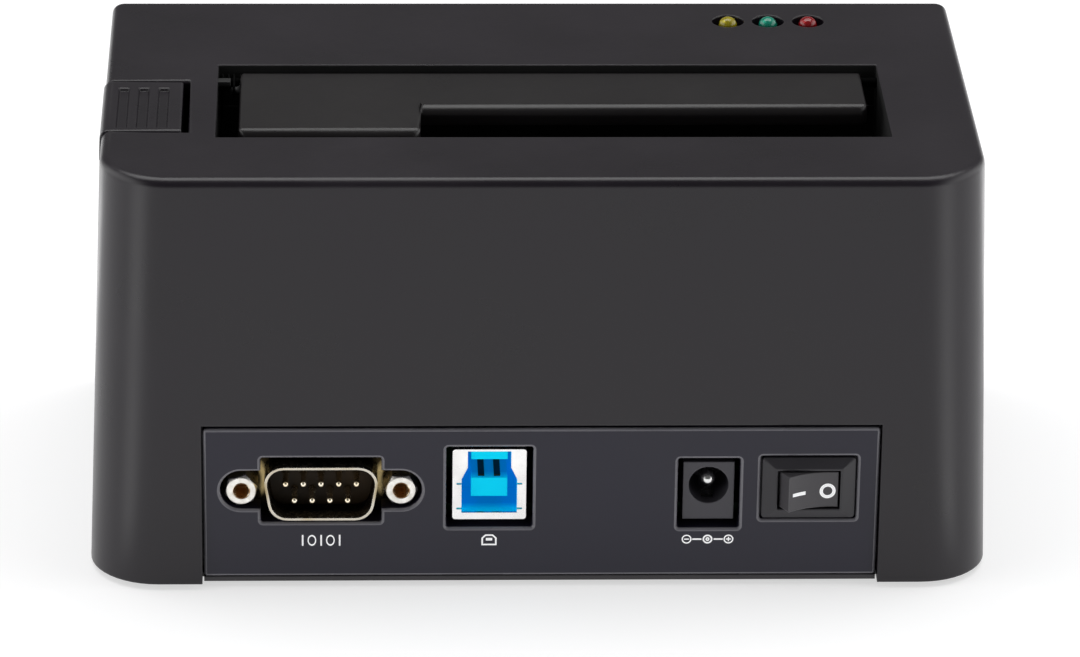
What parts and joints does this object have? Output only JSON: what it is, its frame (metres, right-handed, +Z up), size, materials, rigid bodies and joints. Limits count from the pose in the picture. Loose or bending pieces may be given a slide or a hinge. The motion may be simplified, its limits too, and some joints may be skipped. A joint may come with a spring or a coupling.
{
  "type": "hard drive docking station",
  "caption": "Upright desktop dock: a drive slot with a sprung flap in the top, an eject key, indicator lamps, and rear serial, USB and power sockets with a rocker switch.",
  "frame": {"origin": "Middle of the dock's footprint, on the surface the rubber feet stand on.", "axes": "+X along the long side, to the right as seen from the connector side; +Y from the connector panel to the lamp side; +Z up."},
  "size_m": [0.142, 0.0815, 0.0697],
  "materials": {
    "housing_plastic": "fine satin texture, charcoal",
    "panel_plastic": "satin, charcoal with moulded bevels",
    "black_plastic": "matte black",
    "switch_plastic": "satin black",
    "jack_plastic": "semi-gloss black",
    "rubber": "matte",
    "steel": "satin",
    "plated_shell": "bright plating",
    "gold_contacts": "thin gold flash",
    "tinned_metal": "tinned",
    "blue_plastic": "satin blue",
    "lead_insulation": "satin",
    "cable_grey": "satin",
    "yellow_lens": "clear coloured resin",
    "green_lens": "clear coloured resin",
    "red_lens": "clear coloured resin",
    "board_green": "solder mask",
    "chip_epoxy": "matte",
    "ferrite": "matte",
    "capacitor_can": "sleeved can"
  },
  "bodies": {
    "housing": {"upper_shell": "housing_plastic", "base_plate": "housing_plastic", "rear_panel": "panel_plastic", "rubber_feet": "rubber", "case_screws": "steel", "drive_well": "black_plastic", "well_screws": "steel", "flap_spring": "steel", "eject_spring": "steel", "lever_pin": "steel", "main_board": "board_green", "board_screws": "steel", "sata_socket": "black_plastic", "sata_contacts": "gold_contacts", "serial_shell": "plated_shell", "serial_insulator": "black_plastic", "serial_pins": "gold_contacts", "serial_jackscrews": "plated_shell", "usb_shell": "plated_shell", "usb_insulator": "blue_plastic", "usb_contacts": "gold_contacts", "dc_jack_body": "jack_plastic", "dc_jack_pin": "tinned_metal", "dc_jack_spring": "tinned_metal", "switch_body": "switch_plastic", "switch_terminals": "gold_contacts", "switch_leads": "lead_insulation", "led_yellow": "yellow_lens", "led_green": "green_lens", "led_red": "red_lens", "led_leads": "tinned_metal", "led_board": "board_green", "led_board_screws": "steel", "led_cable": "cable_grey", "led_cable_header": "black_plastic", "bridge_chip": "chip_epoxy", "memory_chip": "chip_epoxy", "serial_driver_chip": "chip_epoxy", "crystal": "steel", "power_inductors": "ferrite", "filter_capacitors": "capacitor_can"},
    "flap": {"slot_flap": "housing_plastic", "flap_hinge_pins": "steel"},
    "eject_key": {"eject_button": "housing_plastic", "eject_clip": "steel"},
    "eject_arm": {"eject_lever": "black_plastic"},
    "rocker": {"power_rocker": "switch_plastic"}
  },
  "joints": [
    {"name": "flap_hinge", "type": "hinge", "parent": "housing", "child": "flap", "pos_m": [0, 0.0075, 0.0667], "axis": [1, 0, 0], "range_deg": [0, 88], "stiffness_Nm_per_rad": 0.01, "springref_deg": -22.92, "deforming": ["flap_spring"]},
    {"name": "eject_press", "type": "slide", "parent": "housing", "child": "eject_key", "axis": [0, 0, -1], "range_m": [0, 0.006], "stiffness_N_per_m": 300, "springref_m": -0.004, "deforming": ["eject_spring"]},
    {"name": "eject_lever_rock", "type": "hinge", "parent": "housing", "child": "eject_arm", "pos_m": [-0.034, -0.00765, 0.014], "axis": [0, -1, 0], "range_deg": [0, 13]},
    {"name": "rocker_tilt", "type": "hinge", "parent": "housing", "child": "rocker", "pos_m": [0.0419, -0.03796, 0.017], "axis": [0, 0, -1], "range_deg": [0, 30]}
  ],
  "couplings": [
    {"joint": "eject_lever_rock", "follows": "eject_press", "rad_per_m": 37.262}
  ]
}
